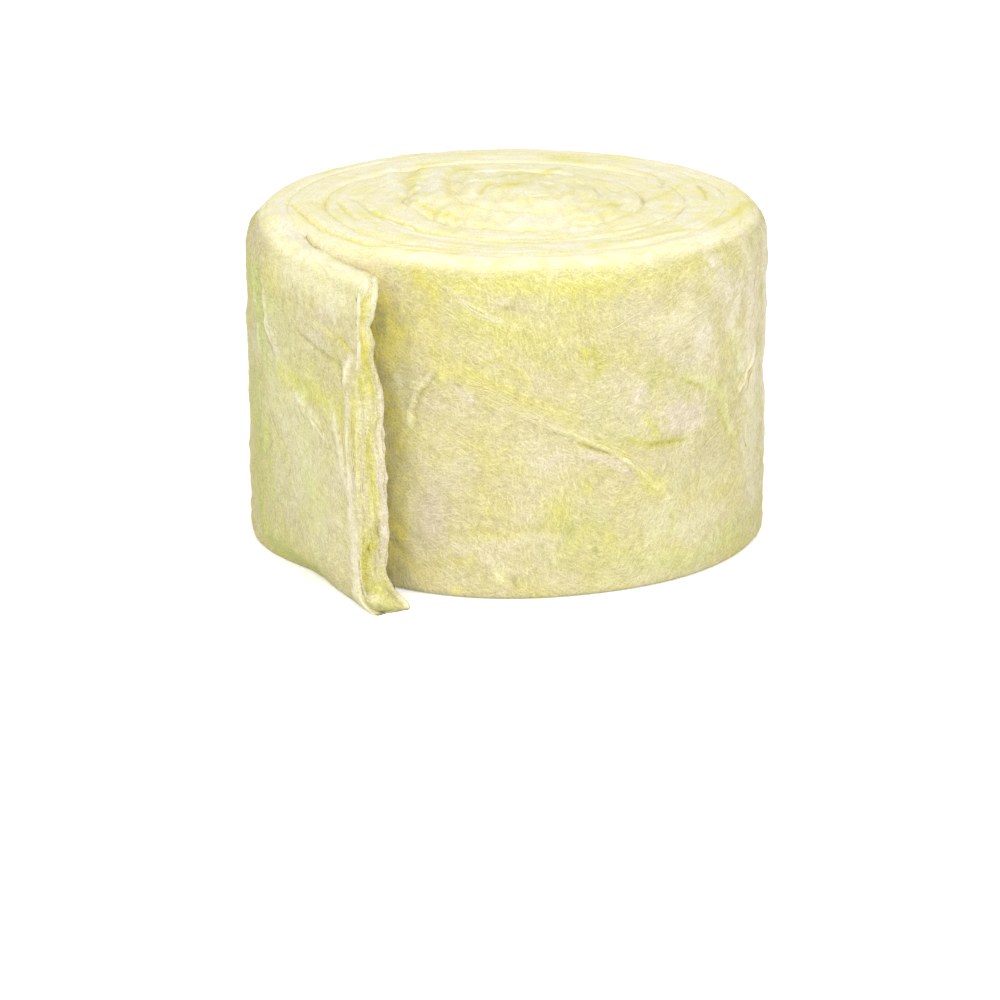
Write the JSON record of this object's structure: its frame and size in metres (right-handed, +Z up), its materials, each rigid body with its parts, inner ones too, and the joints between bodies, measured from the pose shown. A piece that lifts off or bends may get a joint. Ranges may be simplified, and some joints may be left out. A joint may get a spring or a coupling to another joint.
{
  "type": "insulation roll",
  "caption": "Roll of yellow glass-wool blanket insulation wound on itself without a tube, standing on its end with the outer end of the strip hanging loose.",
  "frame": {"origin": "on the winding axis at the floor that the roll stands on", "axes": "+Z up along the winding axis, +X to the right and +Y away from a viewer who faces the loose end, which hangs at the front left"},
  "size_m": [0.4745, 0.4939, 0.319],
  "materials": {
    "glass_wool": "matte, fibrous, unfaced"
  },
  "bodies": {
    "root": {"glass_wool_blanket": "glass_wool"}
  },
  "joints": []
}
